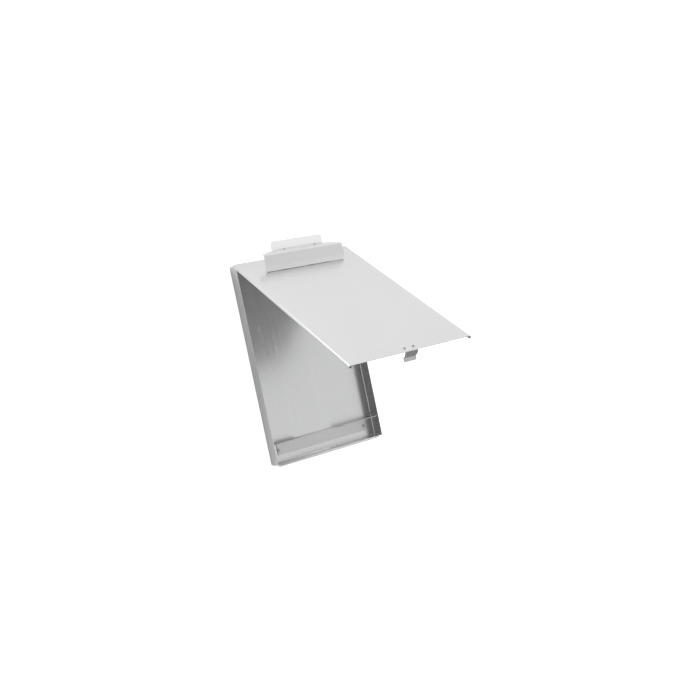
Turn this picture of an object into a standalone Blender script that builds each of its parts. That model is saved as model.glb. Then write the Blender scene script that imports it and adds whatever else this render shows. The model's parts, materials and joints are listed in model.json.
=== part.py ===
"""Storage clipboard: a shallow bent-sheet tray with a hinged lid, a sprung paper clip and a spring latch.

Frame: +X across the tray, +Y towards the hinge, +Z up out of the open tray. The origin is the middle of the
tray back's outer face. Lengths are in millimetres until they reach a mesh, where MM makes them metres.
Pieces on the lid are drawn with the lid shut: s runs from the hinge axis to the free edge, h above the axis.
"""
import math

import bmesh
import bpy
from mathutils import Matrix, Vector

MM = 0.001
GAP = 0.3            # clearance that touching pieces keep

# Tray, one bent sheet
TRAY_W = 228.0
TRAY_L = 359.2
TRAY_D = 26.0
TRAY_SHEET = 1.0
TRAY_BEND = 2.2      # outer radius of the tray's bends
TOP_CUT = 3.5        # the hinge end wall is this much lower, for the hinge barrel
END_CUT = 1.3        # the latch end wall is this much lower, for the latch strip
HEM_HALF = 108.0     # half the length of the folded hem on the latch end wall
HEM_NECK = 2.0       # the end wall slopes up to the side wall over this
HEM_SPACE = 1.8      # inside width of the hem's fold
HEM_DROP = 7.4       # height of the hem's outer face

# Ledge that the papers stand on
LEDGE_SHEET = 1.0
LEDGE_Y = 36.0       # shelf's upper face, above the latch end wall's outer face
LEDGE_FOOT_Y = 14.3
LEDGE_FOOT_HALF = 96.5
LEDGE_HALF = 112.4
LEDGE_TOP = 24.6
LEDGE_LEAN = 2.0     # the flange's upper edge leans this far towards the papers
LEDGE_BEND = 1.6
LEDGE_CORNER = 4.0
NOTCH = (-52.0, 32.0)
NOTCH_ROOT = 4.0
LEDGE_RIVETS = (-93.8, 91.8)
LEDGE_RIVET_Y = 23.4

# Continuous hinge
HINGE_IN = 0.5       # axis inside the tray's end face
BARREL_R = 1.6
LEAF = 0.6
LEAF_W = 10.0
HINGE_HALF = 107.0
KNUCKLES = 19
PIN_R = 0.7
PIN_END = 0.8        # the pin stands out past the barrel
PIN_CHAMFER = 0.2

# Lid
LID_SHEET = 0.9
LID_HALF = 119.9
LID_ROLL = 2.75      # outer radius of the rolled side edges, which pass outside the tray's walls
LID_START = 1.0
LID_END = 363.5
LID_OPEN = 57.0      # degrees from shut

# Latch spring
LATCH_X = -0.9
LATCH_W = 25.4
LATCH_SHEET = 0.5
LATCH_BACK = 345.0
LATCH_SPLIT = 359.6
LATCH_RIVET_S = 354.2
LATCH_RIVET_X = 8.8
LATCH_LEG = 362.7    # outer face of the straight leg
LATCH_APEX = 2.8     # how far the catch bead reaches in
LATCH_BEND = 0.9
LATCH_CORNER = 3.0
LEG_DROP = 10.0      # the leg's straight part ends this far below the lid's top
BEAD_DROP = 13.6
TAB_DROP = 19.8
TAB_FLARE = 0.9
LATCH_FLEX = 0.6     # the bend the leg turns on lies this far inside the corner

# Paper clip
CLIP_X = 2.9
CLIP_SHEET = 1.2
JAW_HALF = 81.2
JAW_TOP_HALF = 44.0  # the top's back edge tapers outside this
JAW_FOOT = (48.8, 0.9)
JAW_KNEE = (45.6, 9.0)
JAW_BEND = (33.8, 26.2)
JAW_BACK = (14.6, 23.4)
JAW_END_DEPTH = 7.0
JAW_CORNER = 3.5
CHEEK = (-6.0, 9.0)  # the cheek's upper edge, before and behind the pivot
CLIP_BEND = 2.6
LEVER_HALF = 53.4
LEVER_FOOT_S = 27.0
LEVER_BEND = 2.0
LEVER_CORNER = 5.0
FOOT_CORNER = 3.0
LEVER_TIP = (6.3, 35.9)
LEVER_RIVET_X = 31.6
LEVER_RIVET_S = 20.6
LEVER_RIVET_PLAY = 0.9  # upright rivets in a sloping top need this much more length
PIVOT = (22.0, 11.0)
BASE_HALF = 59.0
BASE_S = (8.5, 36.0)
EAR_R = 5.0
EAR_FOOT = 11.0      # half the ear's width at the plate
ROD_R = 1.7
ROD_END = 5.2        # the rod stands out past the ears
ROD_CHAMFER = 0.5
BASE_RIVETS = ((-44.0, 15.0), (44.0, 15.0), (-44.0, 30.0), (44.0, 30.0))
SPRING_WIRE = 0.7
SPRING_COIL = 3.4
SPRING_TURNS = 6
SPRING_STEPS = 10    # points in a turn
SPRING_X = 26.0
SPRING_START = 160.0
UPPER_ARM = (-7.0, 10.2)
LOWER_ARM = (-11.5, -6.6)

# Blind rivets
SHANK_R = 1.6
HEAD_R = 3.0
HEAD_H = 0.9
CUP_R = 1.3
CUP_DEPTH = 1.1
TAIL_SPREAD = 0.8    # how much wider than the shank the set tail is
TAIL_H = 1.3
TAIL_LIP = 0.7
SEAT_LIFT = 0.05     # a head stands this far off its sheet

AXIS_Y = TRAY_L / 2 - HINGE_IN
AXIS_Z = TRAY_D - BARREL_R
LID_TOP = BARREL_R + GAP + LID_SHEET     # lid's upper face above the axis
LID_UNDER = BARREL_R + GAP
JAW_RISE = (JAW_BEND[1] - JAW_BACK[1]) / (JAW_BEND[0] - JAW_BACK[0])
NEAR = 0.01          # how close a corner is to the line it was drawn on


def clear_scene():
    for item in list(bpy.data.objects):
        bpy.data.objects.remove(item, do_unlink=True)


def metal(name, colour, roughness, metallic=1.0):
    material = bpy.data.materials.new(name)
    material.use_nodes = True
    shader = material.node_tree.nodes["Principled BSDF"]
    shader.inputs["Base Color"].default_value = (*colour, 1.0)
    shader.inputs["Roughness"].default_value = roughness
    shader.inputs["Metallic"].default_value = metallic
    return material


def frame_empty(name, location, parent=None, tilt=0.0):
    """An empty that carries moving pieces; its place is a joint's axis."""
    empty = bpy.data.objects.new(name, None)
    bpy.context.scene.collection.objects.link(empty)
    empty.parent = parent
    empty.location = Vector(location) * MM
    empty.rotation_euler = (math.radians(tilt), 0.0, 0.0)
    return empty


def finish(name, bm, material, parent=None, smooth=False):
    """Turns a bmesh drawn in millimetres into a named object in metres."""
    bmesh.ops.scale(bm, vec=(MM, MM, MM), verts=bm.verts)
    mesh = bpy.data.meshes.new(name)
    bm.to_mesh(mesh)
    bm.free()
    mesh.materials.append(material)
    if smooth:
        mesh.shade_smooth()
        mesh.set_sharp_from_angle(angle=math.radians(35))
    item = bpy.data.objects.new(name, mesh)
    item.parent = parent
    bpy.context.scene.collection.objects.link(item)
    return item


def thicken(item, thickness):
    """Gives a skin its sheet thickness, away from the side its faces look to."""
    solid = item.modifiers.new("Sheet", "SOLIDIFY")
    solid.thickness = thickness * MM
    solid.offset = -1.0
    solid.use_even_offset = True
    solid.use_quality_normals = True
    return item


def combine(item, other, operation):
    other.hide_render = True
    other.display_type = "WIRE"
    step = item.modifiers.new(operation.title(), "BOOLEAN")
    step.operation = operation
    step.solver = "EXACT"
    step.object = other


def rounded(points, radius, steps=3):
    """A polyline whose inner corners are arcs of the given radius."""
    corners = [Vector(point) for point in points]
    line = [corners[0]]
    for before, corner, after in zip(corners, corners[1:], corners[2:]):
        back = (before - corner).normalized()
        on = (after - corner).normalized()
        half = back.angle(on) / 2
        shorter = min((before - corner).length, (after - corner).length)
        reach = min(radius / math.tan(half), 0.49 * shorter)
        centre = corner + (back + on).normalized() * (reach / math.cos(half))
        start = corner + back * reach - centre
        turn = start.angle_signed(corner + on * reach - centre)
        for step in range(steps + 1):
            angle = -turn * step / steps
            arc = Vector((start.x * math.cos(angle) - start.y * math.sin(angle),
                          start.x * math.sin(angle) + start.y * math.cos(angle)))
            line.append(centre + arc)
    line.append(corners[-1])
    return [tuple(point) for point in line]


def arc_points(centre, radius, first, last, steps):
    """Points on an arc, angles in degrees."""
    points = []
    for step in range(steps + 1):
        angle = math.radians(first + (last - first) * step / steps)
        points.append((centre[0] + radius * math.cos(angle), centre[1] + radius * math.sin(angle)))
    return points


def sweep(stations, section, place):
    """A skin: the section's points joined up at each station, by extruding the first row of edges."""
    bm = bmesh.new()
    row = [bm.verts.new(place(station, *section[0])) for station in stations]
    edges = [bm.edges.new(pair) for pair in zip(row, row[1:])]
    for here, there in zip(section, section[1:]):
        grown = bmesh.ops.extrude_edge_only(bm, edges=edges)["geom"]
        verts = [part for part in grown if isinstance(part, bmesh.types.BMVert)]
        edges = [part for part in grown if isinstance(part, bmesh.types.BMEdge)]
        step = Vector(place(0.0, *there)) - Vector(place(0.0, *here))
        bmesh.ops.translate(bm, verts=verts, vec=step)
    bmesh.ops.recalc_face_normals(bm, faces=bm.faces)
    return bm


def on_tray(x, y, z):
    return (x, y, z)


def on_lid(x, s, h):
    return (x, -s, h)


def along_lid(s, x, h):
    return (x, -s, h)


def drop_faces(bm, unwanted):
    faces = [face for face in bm.faces if unwanted(face.calc_center_median())]
    bmesh.ops.delete(bm, geom=faces, context="FACES")


def round_corners(bm, wanted, radius, segments=3):
    corners = [vert for vert in bm.verts if wanted(vert.co)]
    bmesh.ops.bevel(bm, geom=corners, offset=radius, offset_type="OFFSET", segments=segments, profile=0.5,
                    affect="VERTICES", material=-1)


def point_up(bm, towards):
    """Turns a skin so that its faces look to the given side, judged on the whole skin."""
    total = sum((face.normal * face.calc_area() for face in bm.faces), Vector())
    if total.dot(towards) < 0:
        bmesh.ops.reverse_faces(bm, faces=bm.faces)


def drill(item, points, radius, depth=20.0, direction="Z"):
    """Cuts round holes through a piece at the given points of its own frame."""
    bm = bmesh.new()
    turn = Matrix.Rotation(math.radians(90), 4, "Y") if direction == "X" else Matrix()
    for point in points:
        matrix = Matrix.Translation(point) @ turn
        bmesh.ops.create_cone(bm, cap_ends=True, segments=16, radius1=radius, radius2=radius, depth=depth,
                              matrix=matrix)
    cutter = finish(item.name + "_drill", bm, item.data.materials[0], item.parent)
    combine(item, cutter, "DIFFERENCE")


def turned(profile, segments=16):
    """A closed round solid from a profile of (radius, height) points that starts and ends on its axis."""
    bm = bmesh.new()
    verts = [bm.verts.new((radius, 0.0, height)) for radius, height in profile]
    edges = [bm.edges.new(pair) for pair in zip(verts, verts[1:])]
    bmesh.ops.spin(bm, geom=verts + edges, cent=(0, 0, 0), axis=(0, 0, 1), angle=math.tau, steps=segments,
                   use_merge=True, use_duplicate=False)
    bmesh.ops.remove_doubles(bm, verts=bm.verts, dist=0.0005)
    bmesh.ops.recalc_face_normals(bm, faces=bm.faces)
    return bm


def rivet(name, place, grip, material, parent=None, tail=True):
    """A blind rivet with its head up; place is the point under its head, grip the stack it holds."""
    profile = [(0.0, HEAD_H - CUP_DEPTH), (CUP_R, HEAD_H - CUP_DEPTH), (CUP_R, HEAD_H)]
    profile += [(HEAD_R * 0.72, HEAD_H * 0.8), (HEAD_R, HEAD_H * 0.25), (HEAD_R, 0.0), (SHANK_R, 0.0)]
    profile.append((SHANK_R, -grip))
    if tail:
        wide = SHANK_R + TAIL_SPREAD
        profile += [(wide, -grip), (wide, -grip - TAIL_LIP), (SHANK_R * 0.6, -grip - TAIL_H)]
        profile.append((0.0, -grip - TAIL_H))
    else:
        profile.append((0.0, -grip))
    bm = turned(profile)
    bmesh.ops.translate(bm, verts=bm.verts, vec=place)
    return finish(name, bm, material, parent, smooth=True)


def make_tray(aluminium):
    """Back, side walls and end walls from one sheet; the latch end is folded outwards into a hem."""
    bm = bmesh.new()
    bmesh.ops.create_cube(bm, size=1.0)
    bmesh.ops.scale(bm, vec=(TRAY_W, TRAY_L, TRAY_D), verts=bm.verts)
    bmesh.ops.translate(bm, verts=bm.verts, vec=(0, 0, TRAY_D / 2))
    half = TRAY_L / 2
    bends = [edge for edge in bm.edges if min(vert.co.z for vert in edge.verts) < NEAR]
    drop_faces(bm, lambda middle: middle.z > TRAY_D - NEAR)
    bmesh.ops.bevel(bm, geom=bends, offset=TRAY_BEND, offset_type="OFFSET", segments=3, profile=0.5,
                    affect="EDGES", material=-1)
    for cut in (-HEM_HALF - HEM_NECK, -HEM_HALF, HEM_HALF, HEM_HALF + HEM_NECK):
        whole = bm.verts[:] + bm.edges[:] + bm.faces[:]
        bmesh.ops.bisect_plane(bm, geom=whole, plane_co=(cut, 0, 0), plane_no=(1, 0, 0))
    for vert in bm.verts:
        inside = abs(vert.co.x) < HEM_HALF + NEAR and vert.co.z > TRAY_D - NEAR
        if inside and vert.co.y > half - NEAR:
            vert.co.z -= TOP_CUT
        if inside and vert.co.y < -half + NEAR:
            vert.co.z -= END_CUT + HEM_SPACE / 2 + TRAY_SHEET
    fold_hem(bm)
    tray = thicken(finish("tray_shell", bm, aluminium), TRAY_SHEET)
    drill(tray, [(x, LEDGE_RIVET_Y - half, 0.0) for x in LEDGE_RIVETS], SHANK_R + GAP, depth=6.0)
    return tray


def fold_hem(bm):
    """Carries the latch end wall's upper edge over outwards and down."""
    edge_y = -TRAY_L / 2
    rise = TRAY_D - END_CUT - HEM_SPACE / 2 - TRAY_SHEET
    edges = []
    for edge in bm.edges:
        at_top = all(abs(vert.co.z - rise) < NEAR and abs(vert.co.y - edge_y) < NEAR for vert in edge.verts)
        if at_top and edge.is_boundary:
            edges.append(edge)
    centre = (edge_y - HEM_SPACE / 2, rise)
    path = arc_points(centre, HEM_SPACE / 2, 0.0, 180.0, 6)
    path.append((edge_y - HEM_SPACE, rise + HEM_SPACE / 2 + TRAY_SHEET - HEM_DROP))
    for here, there in zip(path, path[1:]):
        grown = bmesh.ops.extrude_edge_only(bm, edges=edges)["geom"]
        edges = [part for part in grown if isinstance(part, bmesh.types.BMEdge)]
        verts = [part for part in grown if isinstance(part, bmesh.types.BMVert)]
        bmesh.ops.translate(bm, verts=verts, vec=(0.0, there[0] - here[0], there[1] - here[1]))


def make_ledge(aluminium, rivet_metal):
    """An angle strip riveted to the tray's back; its flange has a finger notch."""
    base = -TRAY_L / 2
    under = TRAY_SHEET + GAP
    root = under + NOTCH_ROOT
    lean = LEDGE_LEAN * NOTCH_ROOT / (LEDGE_TOP - under)
    corner = (base + LEDGE_Y, under)
    section = rounded([(base + LEDGE_FOOT_Y, under), corner, (base + LEDGE_Y + lean, root)], LEDGE_BEND)
    section.append((base + LEDGE_Y + LEDGE_LEAN, LEDGE_TOP))
    stations = [-LEDGE_HALF, -LEDGE_FOOT_HALF, *NOTCH, LEDGE_FOOT_HALF, LEDGE_HALF]
    bm = sweep(stations, section, on_tray)
    drop_faces(bm, lambda middle: abs(middle.x) > LEDGE_FOOT_HALF and middle.z < root)
    drop_faces(bm, lambda middle: NOTCH[0] < middle.x < NOTCH[1] and middle.z > root)
    round_corners(bm, lambda co: abs(co.z - LEDGE_TOP) < NEAR, LEDGE_CORNER)
    point_up(bm, Vector((0.0, 1.0, -1.0)))
    ledge = thicken(finish("ledge_bracket", bm, aluminium), LEDGE_SHEET)
    spots = [(x, base + LEDGE_RIVET_Y, under) for x in LEDGE_RIVETS]
    drill(ledge, spots, SHANK_R + GAP, depth=6.0)
    for spot, side in zip(spots, ("left", "right")):
        head = (spot[0], spot[1], under + LEDGE_SHEET + SEAT_LIFT)
        rivet("ledge_rivet_" + side, head, head[2] - SEAT_LIFT, rivet_metal, tail=False)


def knuckle_edges():
    """Ends of the hinge's knuckles along X, with a little play between neighbours."""
    pitch = 2 * HINGE_HALF / KNUCKLES
    play = GAP / 2
    return [(-HINGE_HALF + pitch * i + play, -HINGE_HALF + pitch * (i + 1) - play) for i in range(KNUCKLES)]


def side_of(face, place):
    """A face's middle in the section's own two directions."""
    middle = face.calc_center_median()
    return Vector((-middle.y if place is on_lid else middle.y, middle.z))


def hinge_leaf(name, plate_end, first, last, which, place, material, parent):
    """One leaf: a plate that runs into curled knuckles. which is 0 or 1, the knuckles it owns."""
    curl = arc_points((0.0, 0.0), BARREL_R, first, last, 9)
    direction = (Vector(plate_end) - Vector(curl[0])).normalized()
    shoulder = Vector(curl[0]) + direction * (BARREL_R + GAP)
    section = [plate_end, tuple(shoulder)] + curl
    ends = knuckle_edges()
    stations = sorted({x for pair in ends for x in pair})
    bm = sweep(stations, section, place)
    owned = [ends[i] for i in range(which, KNUCKLES, 2)]
    reach = BARREL_R + GAP - NEAR
    spare = []
    for face in bm.faces:
        x = face.calc_center_median().x
        on_plate = direction.dot(side_of(face, place)) > reach
        if not on_plate and not any(low < x < high for low, high in owned):
            spare.append(face)
    bmesh.ops.delete(bm, geom=spare, context="FACES")
    plate = next(face for face in bm.faces if direction.dot(side_of(face, place)) > reach)
    plate.normal_update()
    outwards = Vector(place(0.0, *curl[0])) - Vector(place(0.0, 0.0, 0.0))
    if plate.normal.dot(outwards) < 0:
        bmesh.ops.reverse_faces(bm, faces=bm.faces)
    return thicken(finish(name, bm, material, parent), LEAF)


def make_hinge(steel, lid_frame):
    tray_leaf = frame_empty("tray_leaf_frame", (0.0, AXIS_Y, AXIS_Z))
    hinge_leaf("tray_hinge_leaf", (BARREL_R, -LEAF_W), 0.0, 250.0, 0, on_tray, steel, tray_leaf)
    hinge_leaf("lid_hinge_leaf", (LEAF_W, BARREL_R), 90.0, 340.0, 1, on_lid, steel, lid_frame)
    pin = [(0.0, -HINGE_HALF - PIN_END), (PIN_R, -HINGE_HALF - PIN_END + PIN_CHAMFER)]
    pin += [(PIN_R, HINGE_HALF + PIN_END - PIN_CHAMFER), (0.0, HINGE_HALF + PIN_END)]
    bm = turned(pin, 12)
    bmesh.ops.rotate(bm, verts=bm.verts, cent=(0, 0, 0), matrix=Matrix.Rotation(math.radians(90), 3, "Y"))
    finish("hinge_pin", bm, steel, tray_leaf, smooth=True)


def make_lid(aluminium, lid_frame):
    """A flat sheet with both side edges rolled under."""
    centre = LID_HALF - LID_ROLL
    right = arc_points((centre, LID_TOP - LID_ROLL), LID_ROLL, 90.0, -180.0, 12)
    left = [(-x, h) for x, h in reversed(right)]
    bm = sweep([LID_START, LID_END], left + right, along_lid)
    flat = max(bm.faces, key=lambda face: face.calc_area())
    flat.normal_update()
    if flat.normal.z < 0:
        bmesh.ops.reverse_faces(bm, faces=bm.faces)
    lid = thicken(finish("lid_panel", bm, aluminium, lid_frame), LID_SHEET)
    spots = [on_lid(LATCH_X + side * LATCH_RIVET_X, LATCH_RIVET_S, LID_TOP) for side in (-1, 1)]
    spots += [on_lid(CLIP_X + x, s, LID_TOP) for x, s in BASE_RIVETS]
    drill(lid, spots, SHANK_R + GAP, depth=8.0)
    return lid


def make_latch(spring_steel, rivet_metal, lid_frame):
    """A spring strip riveted under the lid; its leg ends in a catch bead and a flared finger tab."""
    halves = [LATCH_X - LATCH_W / 2, LATCH_X + LATCH_W / 2]
    upper = LID_UNDER - GAP
    foot = sweep(halves, [(LATCH_BACK, upper), (LATCH_SPLIT, upper)], on_lid)
    round_corners(foot, lambda co: abs(co.y + LATCH_BACK) < NEAR, LATCH_CORNER)
    point_up(foot, Vector((0.0, 0.0, 1.0)))
    strip = thicken(finish("latch_foot", foot, spring_steel, lid_frame), LATCH_SHEET)
    spots = [on_lid(LATCH_X + side * LATCH_RIVET_X, LATCH_RIVET_S, upper) for side in (-1, 1)]
    drill(strip, spots, SHANK_R + GAP, depth=4.0)
    for spot, side in zip(spots, ("left", "right")):
        head = (spot[0], spot[1], LID_TOP + SEAT_LIFT)
        grip = LID_TOP - upper + LATCH_SHEET + 2 * SEAT_LIFT
        rivet("latch_rivet_" + side, head, grip, rivet_metal, lid_frame)
    corners = [(LATCH_SPLIT + GAP, upper), (LATCH_LEG, upper), (LATCH_LEG, LID_TOP - LEG_DROP)]
    corners += [(LATCH_LEG - LATCH_APEX, LID_TOP - BEAD_DROP), (LATCH_LEG + TAB_FLARE, LID_TOP - TAB_DROP)]
    hinge = (LATCH_LEG - LATCH_FLEX, upper - LATCH_FLEX)
    pivot = frame_empty("latch_pivot", on_lid(LATCH_X, *hinge), lid_frame)
    section = [(s - hinge[0], h - hinge[1]) for s, h in rounded(corners, LATCH_BEND)]
    hook = sweep([-LATCH_W / 2, LATCH_W / 2], section, on_lid)
    tip = section[-1][1]
    round_corners(hook, lambda co: co.z < tip + NEAR, LATCH_CORNER)
    point_up(hook, Vector((0.0, -1.0, 0.0)))
    thicken(finish("latch_hook", hook, spring_steel, pivot), LATCH_SHEET)


def clip_point(x, point):
    """A point of the clip in the lid's frame; heights count from the lid's upper face."""
    return on_lid(x, point[0], LID_TOP + point[1])


def upright(name, x, outline, thickness, material, parent):
    """A flat plate that stands across X, from its outline of (s, h) points."""
    bm = bmesh.new()
    face = bm.faces.new([bm.verts.new(on_lid(x - thickness / 2, s, h)) for s, h in outline])
    grown = bmesh.ops.extrude_face_region(bm, geom=[face])["geom"]
    verts = [part for part in grown if isinstance(part, bmesh.types.BMVert)]
    bmesh.ops.translate(bm, verts=verts, vec=(thickness, 0, 0))
    bmesh.ops.recalc_face_normals(bm, faces=bm.faces)
    return finish(name, bm, material, parent)


def make_clip_base(steel, rivet_metal, lid_frame):
    """A plate riveted to the lid, with an ear at each end for the pivot rod."""
    level = GAP + CLIP_SHEET
    seat = LID_TOP + level
    ear_foot = seat - CLIP_SHEET / 2
    bm = sweep([CLIP_X - BASE_HALF, CLIP_X + BASE_HALF], [(BASE_S[0], seat), (BASE_S[1], seat)], on_lid)
    point_up(bm, Vector((0.0, 0.0, 1.0)))
    base = thicken(finish("clip_base", bm, steel, lid_frame), CLIP_SHEET)
    pivot = (PIVOT[0], LID_TOP + PIVOT[1])
    for side in (-1, 1):
        round_top = arc_points(pivot, EAR_R, 10.0, 170.0, 8)
        outline = [(PIVOT[0] + EAR_FOOT, ear_foot)] + round_top + [(PIVOT[0] - EAR_FOOT, ear_foot)]
        x = CLIP_X + side * (BASE_HALF - CLIP_SHEET / 2)
        ear = upright(f"base_ear_{side + 1}", x, outline, CLIP_SHEET, steel, lid_frame)
        combine(base, ear, "UNION")
    spots = [on_lid(CLIP_X + x, s, seat) for x, s in BASE_RIVETS]
    drill(base, spots, SHANK_R + GAP, depth=6.0)
    drill(base, [on_lid(CLIP_X, *pivot)], ROD_R + GAP, depth=2 * BASE_HALF + 10, direction="X")
    grip = level + LID_SHEET + 2 * SEAT_LIFT
    for number, spot in enumerate(spots, 1):
        rivet(f"clip_rivet_{number}", (spot[0], spot[1], seat + SEAT_LIFT), grip, rivet_metal, lid_frame)


def make_rod(steel, lid_frame):
    end = BASE_HALF + ROD_END
    tip = ROD_R - ROD_CHAMFER
    profile = [(0.0, -end), (tip, -end), (ROD_R, -end + ROD_CHAMFER)]
    profile += [(ROD_R, end - ROD_CHAMFER), (tip, end), (0.0, end)]
    bm = turned(profile, 12)
    bmesh.ops.rotate(bm, verts=bm.verts, cent=(0, 0, 0), matrix=Matrix.Rotation(math.radians(90), 3, "Y"))
    bmesh.ops.translate(bm, verts=bm.verts, vec=clip_point(CLIP_X, PIVOT))
    finish("clip_pivot_rod", bm, steel, lid_frame, smooth=True)


def jaw_frame_point(point):
    return (point[0] - PIVOT[0], point[1] - PIVOT[1])


def jaw_top(s, lower=0.0):
    """A point of the jaw's sloping top at s, lowered by the given amount, in the jaw's frame."""
    return jaw_frame_point((s, JAW_BACK[1] + JAW_RISE * (s - JAW_BACK[0]) - lower))


def make_jaw(steel, jaw_frame):
    """The pressed jaw: a slanted face, a top with a tapered back edge, and two cheeks on the rod."""
    outline = [jaw_frame_point(point) for point in (JAW_FOOT, JAW_KNEE, JAW_BEND, JAW_BACK)]
    section = rounded(outline, CLIP_BEND, 4)
    bm = sweep([-JAW_HALF, -JAW_TOP_HALF, JAW_TOP_HALF, JAW_HALF], section, on_lid)
    back = Vector(on_lid(0.0, *outline[-1]))
    bend = Vector(on_lid(0.0, *outline[-2]))
    slack = (bend - back).length - JAW_END_DEPTH
    ends = [vert for vert in bm.verts if abs(vert.co.x) > JAW_HALF - NEAR]
    for vert in ends:
        if abs(vert.co.y - back.y) < NEAR:
            vert.co += (bend - back).normalized() * slack
    rearmost = max(vert.co.y for vert in ends)
    lowest = min(vert.co.z for vert in ends)

    def at_corner(co):
        return abs(co.x) > JAW_HALF - NEAR and (co.y > rearmost - NEAR or co.z < lowest + NEAR)

    round_corners(bm, at_corner, JAW_CORNER)
    point_up(bm, Vector((0.0, -1.0, 1.0)))
    jaw = thicken(finish("jaw_plate", bm, steel, jaw_frame), CLIP_SHEET)
    upper_edge = [jaw_top(PIVOT[0] + reach, CLIP_SHEET / 2) for reach in reversed(CHEEK)]
    for side in (-1, 1):
        outline = arc_points((0.0, 0.0), EAR_R, 200.0, 340.0, 7) + upper_edge
        x = side * (BASE_HALF + GAP * 2 + CLIP_SHEET / 2)
        cheek = upright(f"jaw_cheek_{side + 1}", x, outline, CLIP_SHEET, steel, jaw_frame)
        combine(jaw, cheek, "UNION")
    drill(jaw, [(0.0, 0.0, 0.0)], ROD_R + GAP, depth=2 * BASE_HALF + 10, direction="X")
    drill(jaw, lever_rivet_spots(0.0), SHANK_R + GAP, depth=6.0)
    return jaw


def lever_rivet_spots(lower):
    """Points on the jaw's top over the lever rivets, lowered by the given amount."""
    s, h = jaw_top(LEVER_RIVET_S, lower)
    return [on_lid(side * LEVER_RIVET_X, s, h) for side in (-1, 1)]


def make_lever(steel, rivet_metal, jaw_frame):
    """The thumb lever: a foot riveted under the jaw's top and a slanted blade with round corners."""
    drop = CLIP_SHEET + GAP
    corners = [jaw_top(LEVER_FOOT_S, drop), jaw_top(JAW_BACK[0] - 1.0, drop), jaw_frame_point(LEVER_TIP)]
    section = rounded(corners, LEVER_BEND)
    bm = sweep([-LEVER_HALF, LEVER_HALF], section, on_lid)
    tip = section[-1][1]
    round_corners(bm, lambda co: co.z > tip - NEAR, LEVER_CORNER, 4)
    foot_y = on_lid(0.0, *section[0])[1]
    round_corners(bm, lambda co: abs(co.y - foot_y) < NEAR, FOOT_CORNER)
    point_up(bm, Vector((0.0, -1.0, 1.0)))
    lever = thicken(finish("thumb_lever", bm, steel, jaw_frame), CLIP_SHEET)
    drill(lever, lever_rivet_spots(drop), SHANK_R + GAP, depth=5.0)
    grip = 2 * CLIP_SHEET + GAP + LEVER_RIVET_PLAY
    for spot, side in zip(lever_rivet_spots(-LEVER_RIVET_PLAY / 2), ("left", "right")):
        rivet("lever_rivet_" + side, spot, grip, rivet_metal, jaw_frame)


def make_springs(spring_steel, jaw_frame):
    """Two torsion springs on the rod, with one arm under the jaw's top and one along the base."""
    pitch = 2 * SPRING_WIRE + GAP
    for side, sign in (("left", -1), ("right", 1)):
        points = [(0.0, *UPPER_ARM)]
        for step in range(SPRING_TURNS * SPRING_STEPS + 1):
            turn = step / SPRING_STEPS
            angle = math.radians(SPRING_START) + math.tau * turn
            points.append((pitch * turn, SPRING_COIL * math.cos(angle), SPRING_COIL * math.sin(angle)))
        points.append((points[-1][0] + SPRING_WIRE, *LOWER_ARM))
        curve = bpy.data.curves.new("clip_spring_" + side, "CURVE")
        curve.dimensions = "3D"
        curve.bevel_depth = SPRING_WIRE * MM
        curve.bevel_resolution = 1
        curve.use_fill_caps = True
        spline = curve.splines.new("POLY")
        spline.points.add(len(points) - 1)
        for target, (x, y, z) in zip(spline.points, points):
            target.co = (sign * (SPRING_X + x) * MM, y * MM, z * MM, 1.0)
        curve.materials.append(spring_steel)
        spring = bpy.data.objects.new("clip_spring_" + side, curve)
        spring.parent = jaw_frame
        bpy.context.scene.collection.objects.link(spring)


def main():
    clear_scene()
    aluminium = metal("brushed_aluminium", (0.78, 0.79, 0.80), 0.32)
    steel = metal("plated_steel", (0.72, 0.72, 0.73), 0.22)
    spring_steel = metal("spring_steel", (0.50, 0.50, 0.51), 0.28)
    rivet_metal = metal("rivet_aluminium", (0.62, 0.62, 0.63), 0.35)
    lid_frame = frame_empty("lid_frame", (0.0, AXIS_Y, AXIS_Z), tilt=-LID_OPEN)
    jaw_frame = frame_empty("jaw_frame", clip_point(CLIP_X, PIVOT), lid_frame)
    make_tray(aluminium)
    make_ledge(aluminium, rivet_metal)
    make_hinge(steel, lid_frame)
    make_lid(aluminium, lid_frame)
    make_latch(spring_steel, rivet_metal, lid_frame)
    make_clip_base(steel, rivet_metal, lid_frame)
    make_rod(steel, lid_frame)
    make_jaw(steel, jaw_frame)
    make_lever(steel, rivet_metal, jaw_frame)
    make_springs(spring_steel, jaw_frame)
    bpy.context.view_layer.update()


main()
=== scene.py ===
"""Storage clipboard: an open tray of bent aluminium sheet, a hinged lid with rolled edges, a sprung paper clip and
a spring latch, in a pale studio.

Sizes are in metres. Pieces on the lid are drawn with the lid shut, where s runs from the hinge axis to the free
edge and h above the axis, and are then turned to where the lid stands open. Pieces of the clip's jaw are drawn
the same way about the jaw's own axis.
"""
import json
import math

import bmesh
import bpy
from bpy.props import FloatProperty, FloatVectorProperty, IntProperty, PointerProperty
from bpy.types import Operator, Panel, PropertyGroup
from mathutils import Matrix, Vector


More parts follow.
